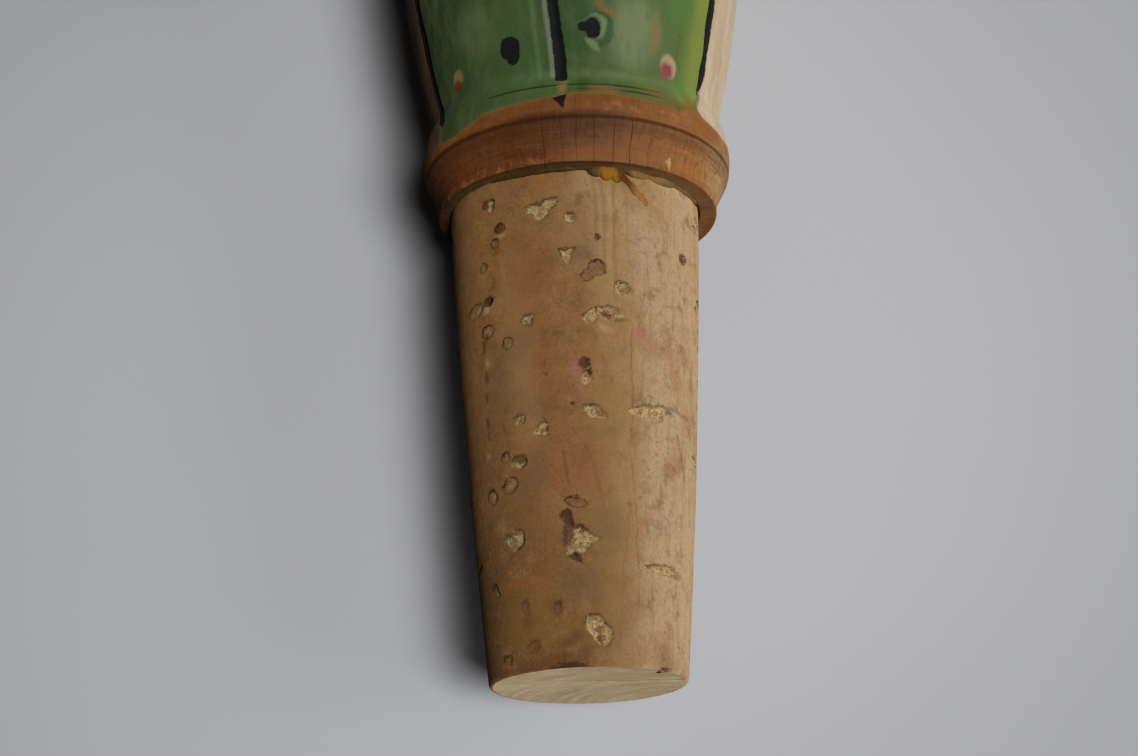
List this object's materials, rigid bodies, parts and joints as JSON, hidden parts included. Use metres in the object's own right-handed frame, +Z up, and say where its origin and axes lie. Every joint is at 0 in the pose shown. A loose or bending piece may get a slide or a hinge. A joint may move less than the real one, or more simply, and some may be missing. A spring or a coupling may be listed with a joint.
{
  "type": "carved bottle stopper",
  "caption": "Bottle stopper: a tapered natural cork glued and dowelled into a turned collar, which carries a carved and painted round body.",
  "frame": {"origin": "under the middle of the stopper's length, on the surface that it lies on", "axes": "+Y along the stopper from the cork's free end to the rounded top, +Z up through the carved front, +X to the right as seen from the front with the top away"},
  "size_m": [0.0336, 0.0966, 0.0305],
  "materials": {
    "carved_wood": "satin",
    "cork": "matte",
    "dowel_wood": "matte"
  },
  "bodies": {
    "root": {"carved_body": "carved_wood", "cork": "cork", "dowel": "dowel_wood"}
  },
  "joints": []
}
